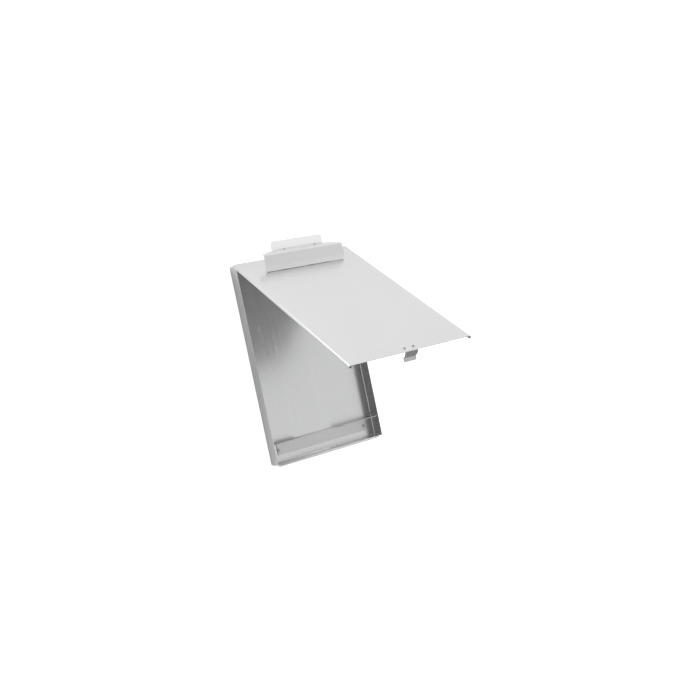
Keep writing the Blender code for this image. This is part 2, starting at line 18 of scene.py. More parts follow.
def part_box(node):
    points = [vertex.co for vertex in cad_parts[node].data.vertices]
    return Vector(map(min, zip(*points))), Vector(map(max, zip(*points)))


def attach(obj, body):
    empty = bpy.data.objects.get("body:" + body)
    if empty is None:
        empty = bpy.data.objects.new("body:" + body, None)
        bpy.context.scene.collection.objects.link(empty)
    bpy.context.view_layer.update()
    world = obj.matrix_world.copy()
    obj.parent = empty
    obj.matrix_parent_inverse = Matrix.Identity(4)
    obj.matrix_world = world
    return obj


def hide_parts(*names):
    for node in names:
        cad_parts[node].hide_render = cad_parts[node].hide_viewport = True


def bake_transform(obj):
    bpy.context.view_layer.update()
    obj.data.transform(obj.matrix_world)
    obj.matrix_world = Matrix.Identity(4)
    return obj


bl_info = {
    "name": "Storage Clipboard",
    "version": (1, 0, 0),
    "blender": (4, 5, 0),
    "location": "View3D > Sidebar > Clipboard",
    "description": "Builds a sheet-metal storage clipboard with its lid, paper clip and latch",
    "category": "Object",
}

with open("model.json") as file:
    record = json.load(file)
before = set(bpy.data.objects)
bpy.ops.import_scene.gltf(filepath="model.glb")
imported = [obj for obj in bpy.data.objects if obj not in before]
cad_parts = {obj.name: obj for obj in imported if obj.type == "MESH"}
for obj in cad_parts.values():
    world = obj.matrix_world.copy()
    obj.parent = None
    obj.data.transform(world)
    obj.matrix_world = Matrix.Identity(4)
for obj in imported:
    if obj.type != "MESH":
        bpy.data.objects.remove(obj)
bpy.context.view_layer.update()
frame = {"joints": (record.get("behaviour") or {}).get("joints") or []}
JOINTS = {joint["name"]: joint for joint in frame["joints"]}

MM = 0.001
GAP = 0.3 * MM
NEAR = 0.01 * MM
SMOOTH_ANGLE = math.radians(40)

# Tray
TRAY_LOW, TRAY_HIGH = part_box("tray_shell")
TRAY_BEND = 2.2 * MM
TOP_CUT = 3.5 * MM
END_CUT = 1.3 * MM
HEM_HALF = 108.0 * MM
HEM_NECK = 2.0 * MM
HEM_SPACE = 1.8 * MM
HEM_DROP = 7.4 * MM

# Shelf
SHELF_Y = 36.0 * MM
SHELF_FOOT_Y = 14.3 * MM
SHELF_FOOT_HALF = 96.5 * MM
SHELF_HALF = 112.4 * MM
SHELF_TOP = 24.6 * MM
SHELF_LEAN = 2.0 * MM
SHELF_BEND = 1.6 * MM
SHELF_CORNER = 4.0 * MM
NOTCH = (-52.0 * MM, 32.0 * MM)
NOTCH_ROOT = 4.0 * MM
SHELF_RIVETS = (-93.8 * MM, 91.8 * MM)
SHELF_RIVET_Y = 23.4 * MM

# Hinge
BARREL_R = 1.6 * MM
LEAF = 0.6 * MM
LEAF_W = 10.0 * MM
HINGE_HALF = 107.0 * MM
KNUCKLES = 19
PIN_R = 0.7 * MM
PIN_END = 0.8 * MM

# Lid
LID_START = 1.0 * MM
LID_END = 363.5 * MM

# Latch
LATCH_X = -0.9 * MM
LATCH_HALF = 12.7 * MM
LATCH_SHEET = 0.5 * MM
LATCH_BACK = 345.0 * MM
LATCH_RIVET_S = 354.2 * MM
LATCH_RIVET_X = 8.8 * MM
LATCH_LEG = 362.7 * MM
LATCH_APEX = 2.8 * MM
LEG_DROP = 10.0 * MM
BEAD_DROP = 13.6 * MM
TAB_DROP = 19.8 * MM
TAB_FLARE = 0.9 * MM
LATCH_BEND = 0.9 * MM
LATCH_CORNER = 3.0 * MM

# Paper clip
CLIP_X = 2.9 * MM
JAW_HALF = 81.2 * MM
JAW_TOP_HALF = 44.0 * MM
JAW_FOOT = (48.8 * MM, 0.9 * MM)
JAW_KNEE = (45.6 * MM, 9.0 * MM)
JAW_BEND = (33.8 * MM, 26.2 * MM)
JAW_BACK = (14.6 * MM, 23.4 * MM)
JAW_END_DEPTH = 7.0 * MM
JAW_CORNER = 3.5 * MM
CHEEK = (9.0 * MM, -6.0 * MM)
LEVER_HALF = 53.4 * MM
LEVER_FOOT_S = 27.0 * MM
LEVER_TIP = (6.3 * MM, 35.9 * MM)
LEVER_RIVET_X = 31.6 * MM
LEVER_RIVET_S = 20.6 * MM
LEVER_BEND = 2.0 * MM
LEVER_FOOT_CORNER = 3.0 * MM
LEVER_RIVET_LIFT = 0.45 * MM
PIVOT = (22.0 * MM, 11.0 * MM)
BASE_HALF = 59.0 * MM
BASE_S = (8.5 * MM, 36.0 * MM)
EAR_R = 5.0 * MM
EAR_CORNER = 4.4 * MM
EAR_TAPER = 0.42
BASE_BEND = 2.0 * MM
ROD_R = 1.7 * MM
ROD_END = 5.2 * MM
BASE_RIVETS = ((-44.0, 15.0), (44.0, 15.0), (-44.0, 30.0), (44.0, 30.0))
SPRING_WIRE = 0.7 * MM
SPRING_COIL = 3.4 * MM
SPRING_TURNS = 6
SPRING_STEPS = 24
SPRING_X = 26.0 * MM
SPRING_START = 160
SPRING_UPPER_ARM = (-7.0 * MM, 10.2 * MM)
SPRING_LOWER_ARM = (-11.5 * MM, -6.6 * MM)

# Blind rivets
SHANK_R = 1.6 * MM
HEAD_R = 3.0 * MM
HEAD_H = 0.9 * MM
CUP_R = 1.3 * MM
CUP_DEPTH = 1.1 * MM

JAW_RISE = (JAW_BEND[1] - JAW_BACK[1]) / (JAW_BEND[0] - JAW_BACK[0])


def lid_frame():
    """The turn from the shut lid's frame to where the lid stands open."""
    joint = JOINTS["lid_hinge"]
    return Matrix.Translation(joint["pos_m"]) @ Matrix.Rotation(math.radians(joint["range_deg"][0]), 4, "X")


def jaw_frame():
    """The same turn about the jaw's own axis."""
    turn = lid_frame().to_3x3().to_4x4()
    return Matrix.Translation(JOINTS["jaw_pivot"]["pos_m"]) @ turn


# ---------------------------------------------------------------- sizes and finishes a user would change

class TrayForm(PropertyGroup):
    """Sheet sizes of the tray and its shelf."""

    sheet: FloatProperty(name="Sheet", description="Thickness of the tray's sheet", default=1.0 * MM, min=0.0004,
                         unit="LENGTH", precision=5)
    bend: FloatProperty(name="Bend radius", description="Outer radius of the tray's bends", default=TRAY_BEND,
                        min=0.0012, unit="LENGTH", precision=5)
    edge: FloatProperty(name="Edge rounding", description="How far sheared edges are broken", default=0.16 * MM,
                        min=0.00002, unit="LENGTH", precision=5)


class LidForm(PropertyGroup):
    """Sheet sizes of the lid."""

    sheet: FloatProperty(name="Sheet", description="Thickness of the lid's sheet", default=0.9 * MM, min=0.0004,
                         unit="LENGTH", precision=5)
    roll: FloatProperty(name="Edge roll", description="Outer radius of the rolled side edges", default=2.75 * MM,
                        min=0.0015, unit="LENGTH", precision=5)
    roll_steps: IntProperty(name="Roll steps", description="Facets round each rolled edge", default=36, min=8)


class ClipForm(PropertyGroup):
    """Sheet sizes of the paper clip."""

    sheet: FloatProperty(name="Sheet", description="Thickness of the clip's sheet", default=1.2 * MM, min=0.0006,
                         unit="LENGTH", precision=5)
    bend: FloatProperty(name="Bend radius", description="Radius of the jaw's bend", default=2.6 * MM, min=0.0014,
                        unit="LENGTH", precision=5)
    lever_corner: FloatProperty(name="Lever corner", description="Corner radius of the thumb lever's blade",
                                default=5.0 * MM, min=0.001, unit="LENGTH", precision=5)


class MetalLooks(PropertyGroup):
    """Colours and polish of the metals."""

    sheet_colour: FloatVectorProperty(name="Sheet aluminium", description="Colour of the brushed sheet",
                                      subtype="COLOR", size=3, default=(0.70, 0.702, 0.706), min=0, max=1)
    sheet_roughness: FloatProperty(name="Sheet roughness", description="Roughness of the brushed sheet",
                                   default=0.22, min=0.05, max=1, subtype="FACTOR")
    clip_colour: FloatVectorProperty(name="Clip steel", description="Colour of the plated clip", subtype="COLOR",
                                     size=3, default=(0.72, 0.72, 0.725), min=0, max=1)
    clip_roughness: FloatProperty(name="Clip roughness", description="Roughness of the plated clip", default=0.22,
                                  min=0.05, max=1, subtype="FACTOR")
    lever_colour: FloatVectorProperty(name="Lever plating", description="Colour of the thumb lever's plating",
                                      subtype="COLOR", size=3, default=(0.98, 0.98, 0.98), min=0, max=1)
    spring_colour: FloatVectorProperty(name="Spring steel", description="Colour of the latch and springs",
                                       subtype="COLOR", size=3, default=(0.42, 0.42, 0.43), min=0, max=1)
    rivet_colour: FloatVectorProperty(name="Rivets", description="Colour of the blind rivets", subtype="COLOR",
                                      size=3, default=(0.55, 0.55, 0.56), min=0, max=1)


class StudioForm(PropertyGroup):
    """Floor, light and camera."""

    floor_size: FloatProperty(name="Floor", description="Width of the floor", default=30.0, min=2, unit="LENGTH")
    floor_light: FloatProperty(name="Floor light", description="Strength of the soft light from above",
                               default=0.74, min=0)
    lens: FloatProperty(name="Lens", description="Focal length of the camera", default=50.475, min=10,
                        unit="CAMERA")


# ---------------------------------------------------------------- shaping helpers

def on_tray(x, y, z):
    return (x, y, z)


def on_lid(x, s, h):
    return (x, -s, h)


def along_lid(s, x, h):
    return (x, -s, h)


def arc_points(centre, radius, first, last, steps):
    """Points on an arc, angles in degrees."""
    points = []
    for step in range(steps + 1):
        angle = math.radians(first + (last - first) * step / steps)
        points.append((centre[0] + radius * math.cos(angle), centre[1] + radius * math.sin(angle)))
    return points


def rounded(points, radius, steps=8):
    """A polyline whose inner corners are arcs of the given radius."""
    corners = [Vector(point) for point in points]
    line = [corners[0]]
    for before, corner, after in zip(corners, corners[1:], corners[2:]):
        back = (before - corner).normalized()
        on = (after - corner).normalized()
        half = back.angle(on) / 2
        shorter = min((before - corner).length, (after - corner).length)
        reach = min(radius / math.tan(half), 0.49 * shorter)
        centre = corner + (back + on).normalized() * (reach / math.cos(half))
        start = corner + back * reach - centre
        turn = start.angle_signed(corner + on * reach - centre)
        for step in range(steps + 1):
            angle = -turn * step / steps
            arc = Vector((start.x * math.cos(angle) - start.y * math.sin(angle),
                          start.x * math.sin(angle) + start.y * math.cos(angle)))
            line.append(centre + arc)
    line.append(corners[-1])
    return [tuple(point) for point in line]


def sweep(stations, section, place):
    """A skin: the section's points joined up at each station, by extruding the first row of edges."""
    bm = bmesh.new()
    row = [bm.verts.new(place(station, *section[0])) for station in stations]
    edges = [bm.edges.new(pair) for pair in zip(row, row[1:])]
    for here, there in zip(section, section[1:]):
        grown = bmesh.ops.extrude_edge_only(bm, edges=edges)["geom"]
        verts = [part for part in grown if isinstance(part, bmesh.types.BMVert)]
        edges = [part for part in grown if isinstance(part, bmesh.types.BMEdge)]
        step = Vector(place(0.0, *there)) - Vector(place(0.0, *here))
        bmesh.ops.translate(bm, verts=verts, vec=step)
    bmesh.ops.recalc_face_normals(bm, faces=bm.faces)
    return bm


def drop_faces(bm, unwanted):
    faces = [face for face in bm.faces if unwanted(face.calc_center_median())]
    bmesh.ops.delete(bm, geom=faces, context="FACES")


def round_corners(bm, wanted, radius, segments=8):
    corners = [vert for vert in bm.verts if wanted(vert.co)]
    bmesh.ops.bevel(bm, geom=corners, offset=radius, offset_type="OFFSET", segments=segments, profile=0.5,
                    affect="VERTICES", material=-1)


def face_towards(bm, towards):
    """Turns a skin so that its faces look to the given side, judged on the whole skin."""
    bm.normal_update()
    total = sum((face.normal * face.calc_area() for face in bm.faces), Vector())
    if total.dot(Vector(towards)) < 0:
        bmesh.ops.reverse_faces(bm, faces=bm.faces)


def put_in_scene(name, bm, material, place=None):
    """Makes a smooth-shaded object of a bmesh, with its place in its mesh."""
    bmesh.ops.transform(bm, matrix=place or Matrix(), verts=bm.verts)
    mesh = bpy.data.meshes.new(name)
    bm.to_mesh(mesh)
    bm.free()
    mesh.materials.append(material)
    mesh.shade_smooth()
    piece = bpy.data.objects.new(name, mesh)
    bpy.context.scene.collection.objects.link(piece)
    return piece


def set_mesh(piece):
    """Takes the piece's modifiers into its mesh."""
    shaped = piece.evaluated_get(bpy.context.evaluated_depsgraph_get())
    mesh = bpy.data.meshes.new_from_object(shaped)
    mesh.name = piece.name
    plain = piece.data
    piece.modifiers.clear()
    piece.data = mesh
    bpy.data.meshes.remove(plain)
    return piece


def even_normals(piece):
    """Keeps flat faces flat in the shading, and lets only the bends and broken edges turn."""
    level = piece.modifiers.new("Even normals", "WEIGHTED_NORMAL")
    level.mode = "FACE_AREA"
    level.weight = 100
    level.keep_sharp = False
    return set_mesh(piece)


def make_sheet(name, bm, material, thickness, edge, place=None):
    """A skin thickened away from its faces, with its sheared edges broken."""
    piece = put_in_scene(name, bm, material, place)
    solid = piece.modifiers.new("Sheet", "SOLIDIFY")
    solid.thickness = thickness
    solid.offset = -1.0
    solid.use_even_offset = True
    solid.use_quality_normals = True
    broken = piece.modifiers.new("Broken edges", "BEVEL")
    broken.width = edge
    broken.segments = 2
    broken.limit_method = "ANGLE"
    broken.angle_limit = SMOOTH_ANGLE
    return even_normals(piece)


def make_turned(name, profile, material, place, segments=40):
    """A round solid from a profile of (radius, height) points that starts and ends on its axis."""
    bm = bmesh.new()
    verts = [bm.verts.new((radius, 0.0, height)) for radius, height in profile]
    edges = [bm.edges.new(pair) for pair in zip(verts, verts[1:])]
    bmesh.ops.spin(bm, geom=verts + edges, cent=(0, 0, 0), axis=(0, 0, 1), angle=math.tau, steps=segments,
                   use_merge=True, use_duplicate=False)
    bmesh.ops.remove_doubles(bm, verts=bm.verts, dist=NEAR / 10)
    bmesh.ops.recalc_face_normals(bm, faces=bm.faces)
    return even_normals(put_in_scene(name, bm, material, place))


def settle(piece, body, slot, *nodes):
    """Says which body the piece rides on and hides the nodes it stands for; slot is not used."""
    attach(piece, body)
    if nodes:
        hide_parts(*nodes)
    return piece


# ---------------------------------------------------------------- metals

def add_node(tree, kind, **sockets):
    """A node with the given inputs set by socket name, underscores for spaces."""
    node = tree.nodes.new(kind)
    for name, value in sockets.items():
        node.inputs[name.replace("_", " ")].default_value = value
    return node


def new_group(name, inputs, outputs):
    """A shader node group with float or vector sockets; returns it with its end nodes."""
    tree = bpy.data.node_groups.new(name, "ShaderNodeTree")
    for label, kind, value in inputs:
        socket = tree.interface.new_socket(label, in_out="INPUT", socket_type=kind)
        if value is not None:
            socket.default_value = value
    for label, kind in outputs:
        tree.interface.new_socket(label, in_out="OUTPUT", socket_type=kind)
    return tree, tree.nodes.new("NodeGroupInput"), tree.nodes.new("NodeGroupOutput")


def maths(tree, operation, first, second, clamp=False):
    """A maths node; each input is a socket or a number."""
    node = tree.nodes.new("ShaderNodeMath")
    node.operation = operation
    node.use_clamp = clamp
    for socket, value in zip(node.inputs, (first, second)):
        if isinstance(value, bpy.types.NodeSocket):
            tree.links.new(value, socket)
        else:
            socket.default_value = value
    return node.outputs[0]


def noise(tree, vector, scale, detail=3.0, roughness=0.55):
    node = add_node(tree, "ShaderNodeTexNoise", Scale=scale, Detail=detail, Roughness=roughness)
    tree.links.new(vector, node.inputs["Vector"])
    return node.outputs["Fac"]


def remap(tree, value, low, high, to_low=0.0, to_high=1.0):
    node = add_node(tree, "ShaderNodeMapRange", From_Min=low, From_Max=high, To_Min=to_low, To_Max=to_high)
    tree.links.new(value, node.inputs["Value"])
    return node.outputs["Result"]


def grain_group():
    """Drawn brush lines: fine scratches over broader bands, both long along one direction."""
    tree, entry, leave = new_group(
        "Brush Grain",
        [("Vector", "NodeSocketVector", None), ("Stretch", "NodeSocketVector", (1.0, 1.0, 1.0)),
         ("Band Share", "NodeSocketFloat", 0.4)],
        [("Streak", "NodeSocketFloat"), ("Height", "NodeSocketFloat")])
    stretched = tree.nodes.new("ShaderNodeVectorMath")
    stretched.operation = "MULTIPLY"
    tree.links.new(entry.outputs["Vector"], stretched.inputs[0])
    tree.links.new(entry.outputs["Stretch"], stretched.inputs[1])
    fine = noise(tree, stretched.outputs[0], 1.0, 4.0, 0.65)
    bands = noise(tree, stretched.outputs[0], 0.09, 3.0, 0.6)
    share = entry.outputs["Band Share"]
    kept = maths(tree, "SUBTRACT", 1.0, share)
    streak = maths(tree, "ADD", maths(tree, "MULTIPLY", fine, kept), maths(tree, "MULTIPLY", bands, share))
    tree.links.new(remap(tree, streak, 0.3, 0.7), leave.inputs["Streak"])
    tree.links.new(fine, leave.inputs["Height"])
    return tree


def marks_group():
    """Soft handling marks and faint cloudiness."""
    tree, entry, leave = new_group(
        "Handling Marks", [("Vector", "NodeSocketVector", None), ("Scale", "NodeSocketFloat", 14.0)],
        [("Mark", "NodeSocketFloat"), ("Cloud", "NodeSocketFloat")])
    clouds = add_node(tree, "ShaderNodeTexNoise", Detail=2.0, Roughness=0.5, Distortion=0.4)
    tree.links.new(entry.outputs["Vector"], clouds.inputs["Vector"])
    tree.links.new(entry.outputs["Scale"], clouds.inputs["Scale"])
    spots = add_node(tree, "ShaderNodeTexNoise", Detail=5.0, Roughness=0.7, Distortion=0.8)
    tree.links.new(entry.outputs["Vector"], spots.inputs["Vector"])
    tree.links.new(maths(tree, "MULTIPLY", entry.outputs["Scale"], 4.0), spots.inputs["Scale"])
    tree.links.new(remap(tree, spots.outputs["Fac"], 0.45, 0.85), leave.inputs["Mark"])
    tree.links.new(remap(tree, clouds.outputs["Fac"], 0.3, 0.7), leave.inputs["Cloud"])
    return tree


def wear_group():
    """A mask of bends and edges, where handling polishes the metal."""
    tree, entry, leave = new_group(
        "Edge Wear", [("Vector", "NodeSocketVector", None), ("Radius", "NodeSocketFloat", 0.0006)],
        [("Wear", "NodeSocketFloat")])
    soft = tree.nodes.new("ShaderNodeBevel")
    soft.samples = 4
    tree.links.new(entry.outputs["Radius"], soft.inputs["Radius"])
    true = tree.nodes.new("ShaderNodeNewGeometry")
    likeness = tree.nodes.new("ShaderNodeVectorMath")
    likeness.operation = "DOT_PRODUCT"
    tree.links.new(soft.outputs["Normal"], likeness.inputs[0])
    tree.links.new(true.outputs["Normal"], likeness.inputs[1])
    turned = remap(tree, likeness.outputs["Value"], 0.995, 0.9)
    broken = remap(tree, noise(tree, entry.outputs["Vector"], 260.0), 0.35, 0.6)
    tree.links.new(maths(tree, "MULTIPLY", turned, broken), leave.inputs["Wear"])
    return tree


def group_of(name, build):
    """The node group of that name, made the first time it is asked for."""
    return bpy.data.node_groups.get(name) or build()


def brushed_metal(name, colour, roughness, stretch, turn=0.0, contrast=0.05, scratch=0.0000014, marks=0.03,
                  wear=0.5):
    """A drawn or brushed metal. stretch is how fast the grain changes along X, Y and Z; turn is the piece's tilt."""
    material = bpy.data.materials.new(name)
    material.use_nodes = True
    tree = material.node_tree
    shader = tree.nodes["Principled BSDF"]
    shader.inputs["Metallic"].default_value = 1.0
    place = tree.nodes.new("ShaderNodeTexCoord")
    turned = add_node(tree, "ShaderNodeMapping", Rotation=(turn, 0.0, 0.0))
    tree.links.new(place.outputs["Object"], turned.inputs["Vector"])
    vector = turned.outputs["Vector"]
    nodes = []
    for label, build in (("Brush Grain", grain_group), ("Handling Marks", marks_group), ("Edge Wear", wear_group)):
        node = tree.nodes.new("ShaderNodeGroup")
        node.node_tree = group_of(label, build)
        tree.links.new(vector, node.inputs["Vector"])
        nodes.append(node)
    grain, handled, worn = nodes
    grain.inputs["Stretch"].default_value = stretch
    streak, cloud, mark = grain.outputs["Streak"], handled.outputs["Cloud"], handled.outputs["Mark"]
    tone = maths(tree, "ADD", maths(tree, "MULTIPLY", streak, 0.7), maths(tree, "MULTIPLY", cloud, 0.3))
    shades = []
    for factor in (1.0 - contrast, 1.0 + contrast):
        shades.append(tuple(min(channel * factor, 1.0) for channel in colour) + (1.0,))
    mixed = tree.nodes.new("ShaderNodeMix")
    mixed.data_type = "RGBA"
    mixed.inputs[6].default_value, mixed.inputs[7].default_value = shades
    tree.links.new(tone, mixed.inputs[0])
    polished = tree.nodes.new("ShaderNodeMix")
    polished.data_type = "RGBA"
    polished.inputs[7].default_value = tuple(min(channel * 1.18 + 0.03, 1.0) for channel in colour) + (1.0,)
    tree.links.new(maths(tree, "MULTIPLY", worn.outputs["Wear"], wear), polished.inputs[0])
    tree.links.new(mixed.outputs[2], polished.inputs[6])
    tree.links.new(polished.outputs[2], shader.inputs["Base Color"])
    rough = maths(tree, "ADD", roughness - 0.5 * marks, maths(tree, "MULTIPLY", mark, marks))
    rough = maths(tree, "ADD", rough, maths(tree, "MULTIPLY", streak, 0.07))
    rough = maths(tree, "SUBTRACT", rough, maths(tree, "MULTIPLY", worn.outputs["Wear"], 0.08), clamp=True)
    tree.links.new(rough, shader.inputs["Roughness"])
    bump = add_node(tree, "ShaderNodeBump", Strength=1.0, Distance=scratch)
    tree.links.new(grain.outputs["Height"], bump.inputs["Height"])
    tree.links.new(bump.outputs["Normal"], shader.inputs["Normal"])
    return material


FINE = 1900.0        # brush lines per metre across the grain
LONG = 22.0          # and along it


def sheet_metal(name, turn=0.0, along="Y"):
    looks = bpy.context.scene.clipboard_looks
    stretch = (FINE, LONG, FINE) if along == "Y" else (LONG, FINE, FINE)
    return brushed_metal(name, looks.sheet_colour, looks.sheet_roughness, stretch, turn, contrast=0.025)


def clip_metal(name, colour, roughness, contrast=0.04):
    return brushed_metal(name, colour, roughness, (LONG * 2, FINE * 0.7, FINE * 0.7), lid_turn(), contrast)


def lid_turn():
    """Turns a pattern into the open lid's own directions."""
    return -math.radians(JOINTS["lid_hinge"]["range_deg"][0])


def material_of(name, build):
    return bpy.data.materials.get(name) or build()


def rivet_metal():
    colour = bpy.context.scene.clipboard_looks.rivet_colour
    return material_of("rivet_aluminium", lambda: brushed_metal(
        "rivet_aluminium", colour, 0.34, (900.0, 900.0, 900.0), contrast=0.12, scratch=0.000008, wear=0.8))


def stem_painted_shade_metal():
    """Painted shade for a rivet's cup: the broken stem left down in the cup and the cup's inner faces, coloured
    near-black for the shade down in the hollow.
    """
    return material_of("rivet_stem_painted_shade", lambda: brushed_metal(
        "rivet_stem_painted_shade", (0.03, 0.03, 0.032), 0.5, (900.0, 900.0, 900.0), contrast=0.3))


def spring_metal():
    colour = bpy.context.scene.clipboard_looks.spring_colour
    return material_of("spring_steel", lambda: brushed_metal(
        "spring_steel", colour, 0.24, (LONG * 3, FINE, FINE), lid_turn(), contrast=0.1))


def hinge_metal():
    colour = bpy.context.scene.clipboard_looks.clip_colour
    return material_of("hinge_steel", lambda: brushed_metal(
        "hinge_steel", colour, 0.3, (LONG * 4, FINE, FINE), contrast=0.1))


# ---------------------------------------------------------------- pieces

def make_rivet(name, place, grip, body, node, tail=True):
    """A blind rivet, head up: a low dome with the broken stem down in its cup; place is under the head."""
    profile = [(0.0, HEAD_H - CUP_DEPTH + 0.25 * MM), (CUP_R * 0.45, HEAD_H - CUP_DEPTH + 0.22 * MM)]
    profile += [(CUP_R * 0.55, HEAD_H - CUP_DEPTH), (CUP_R * 0.9, HEAD_H - CUP_DEPTH)]
    profile += [(CUP_R, HEAD_H - CUP_DEPTH + 0.1 * MM), (CUP_R, HEAD_H - 0.12 * MM)]
    profile += [(CUP_R + 0.12 * MM, HEAD_H), (CUP_R + 0.5 * MM, HEAD_H - 0.03 * MM)]
    profile += [(HEAD_R * 0.72, HEAD_H * 0.84), (HEAD_R * 0.9, HEAD_H * 0.52), (HEAD_R * 0.985, HEAD_H * 0.26)]
    profile += [(HEAD_R, HEAD_H * 0.12), (HEAD_R * 0.985, 0.0), (SHANK_R, 0.0), (SHANK_R, -grip)]
    if tail:
        wide = SHANK_R + 0.8 * MM
        profile += [(wide - 0.2 * MM, -grip), (wide, -grip - 0.2 * MM), (wide, -grip - 0.6 * MM)]
        profile += [(wide - 0.4 * MM, -grip - 1.0 * MM), (SHANK_R * 0.6, -grip - 1.3 * MM)]
        profile += [(SHANK_R * 0.5, -grip - 1.0 * MM), (0.0, -grip - 1.0 * MM)]
    else:
        profile.append((0.0, -grip))
    piece = make_turned(name, profile, rivet_metal(), place)
    piece.data.materials.append(stem_painted_shade_metal())
    into = place.inverted()
    # the stem and the cup's inner faces take the near-black painted shade of the hollow
    for face in piece.data.polygons:
        spot = into @ face.center
        if spot.z > 0 and math.hypot(spot.x, spot.y) < CUP_R:
            face.material_index = 1
    return settle(piece, body, "rivet_aluminium", node)


class CLIPBOARD_OT_tray(Operator):
    """Bend the tray: back, side walls and end walls, with a folded hem at the latch end"""

    bl_idname = "clipboard.make_tray"
    bl_label = "Tray"

    def execute(self, context):
        form = context.scene.clipboard_tray
        bm = bmesh.new()
        depth = TRAY_HIGH.z
        width = TRAY_HIGH.x - TRAY_LOW.x
        half = TRAY_HIGH.y
        bmesh.ops.create_cube(bm, size=1.0)
        bmesh.ops.scale(bm, vec=(width, 2 * half, depth), verts=bm.verts)
        bmesh.ops.translate(bm, verts=bm.verts, vec=(0, 0, depth / 2))
        drop_faces(bm, lambda middle: middle.z > depth - NEAR)
        bends = [edge for edge in bm.edges if not edge.is_boundary]
        bmesh.ops.bevel(bm, geom=bends, offset=form.bend, offset_type="OFFSET", segments=8, profile=0.5,
                        affect="EDGES", material=-1)
        for cut in (-HEM_HALF - HEM_NECK, -HEM_HALF, HEM_HALF, HEM_HALF + HEM_NECK):
            whole = bm.verts[:] + bm.edges[:] + bm.faces[:]
            bmesh.ops.bisect_plane(bm, geom=whole, plane_co=(cut, 0, 0), plane_no=(1, 0, 0))
        for vert in bm.verts:
            inside = abs(vert.co.x) < HEM_HALF + NEAR and vert.co.z > depth - NEAR
            if inside and vert.co.y > half - NEAR:
                vert.co.z -= TOP_CUT
            if inside and vert.co.y < -half + NEAR:
                vert.co.z -= END_CUT + HEM_SPACE / 2 + form.sheet
        self.fold_hem(bm, depth, half, form.sheet)
        face_outwards(bm)
        metal = sheet_metal("tray_aluminium")
        piece = make_sheet("tray_body", bm, metal, form.sheet, form.edge)
        settle(piece, "tray", "sheet_aluminium", "tray_shell")
        return {"FINISHED"}

    def fold_hem(self, bm, depth, half, sheet):
        """Carries the latch end wall's upper edge over outwards and down."""
        rise = depth - END_CUT - HEM_SPACE / 2 - sheet
        edges = []
        for edge in bm.edges:
            level = all(abs(vert.co.z - rise) < NEAR and vert.co.y < -half + NEAR for vert in edge.verts)
            if level and edge.is_boundary:
                edges.append(edge)
        path = arc_points((-half - HEM_SPACE / 2, rise), HEM_SPACE / 2, 0.0, 180.0, 12)
        path.append((-half - HEM_SPACE, rise + HEM_SPACE / 2 + sheet - HEM_DROP))
        for here, there in zip(path, path[1:]):
            grown = bmesh.ops.extrude_edge_only(bm, edges=edges)["geom"]
            edges = [part for part in grown if isinstance(part, bmesh.types.BMEdge)]
            verts = [part for part in grown if isinstance(part, bmesh.types.BMVert)]
            bmesh.ops.translate(bm, verts=verts, vec=(0.0, there[0] - here[0], there[1] - here[1]))


def face_outwards(bm):
    """Points the tray's faces out, judged by its back, which looks down."""
    bmesh.ops.recalc_face_normals(bm, faces=bm.faces)
    back = max(bm.faces, key=lambda face: face.calc_area())
    if back.normal.z > 0:
        bmesh.ops.reverse_faces(bm, faces=bm.faces)


class CLIPBOARD_OT_shelf(Operator):
    """Bend the angle that the papers stand on and rivet it to the tray"""

    bl_idname = "clipboard.make_shelf"
    bl_label = "Shelf"

    def execute(self, context):
        form = context.scene.clipboard_tray
        base = -TRAY_HIGH.y
        under = form.sheet + GAP
        root = under + NOTCH_ROOT
        lean = SHELF_LEAN * NOTCH_ROOT / (SHELF_TOP - under)
        corner = (base + SHELF_Y, under)
        section = rounded([(base + SHELF_FOOT_Y, under), corner, (base + SHELF_Y + lean, root)], SHELF_BEND)
        section.append((base + SHELF_Y + SHELF_LEAN, SHELF_TOP))
        bm = sweep([-SHELF_HALF, -SHELF_FOOT_HALF, *NOTCH, SHELF_FOOT_HALF, SHELF_HALF], section, on_tray)
        drop_faces(bm, lambda middle: abs(middle.x) > SHELF_FOOT_HALF and middle.z < root)
        drop_faces(bm, lambda middle: NOTCH[0] < middle.x < NOTCH[1] and middle.z > root)
        round_corners(bm, lambda co: abs(co.z - SHELF_TOP) < NEAR, SHELF_CORNER)
        face_towards(bm, (0.0, 1.0, -1.0))
        colour = tuple(0.84 * channel for channel in context.scene.clipboard_looks.sheet_colour)
        metal = brushed_metal("shelf_aluminium", colour, 0.38, (LONG, FINE, FINE))
        piece = make_sheet("shelf_angle", bm, metal, 1.0 * MM, form.edge)
        settle(piece, "tray", "sheet_aluminium", "ledge_bracket")
        top = under + 1.05 * MM
        for x, side in zip(SHELF_RIVETS, ("left", "right")):
            place = Matrix.Translation((x, base + SHELF_RIVET_Y, top))
            make_rivet("shelf_rivet_" + side, place, top - 0.05 * MM, "tray", "ledge_rivet_" + side, tail=False)
        return {"FINISHED"}


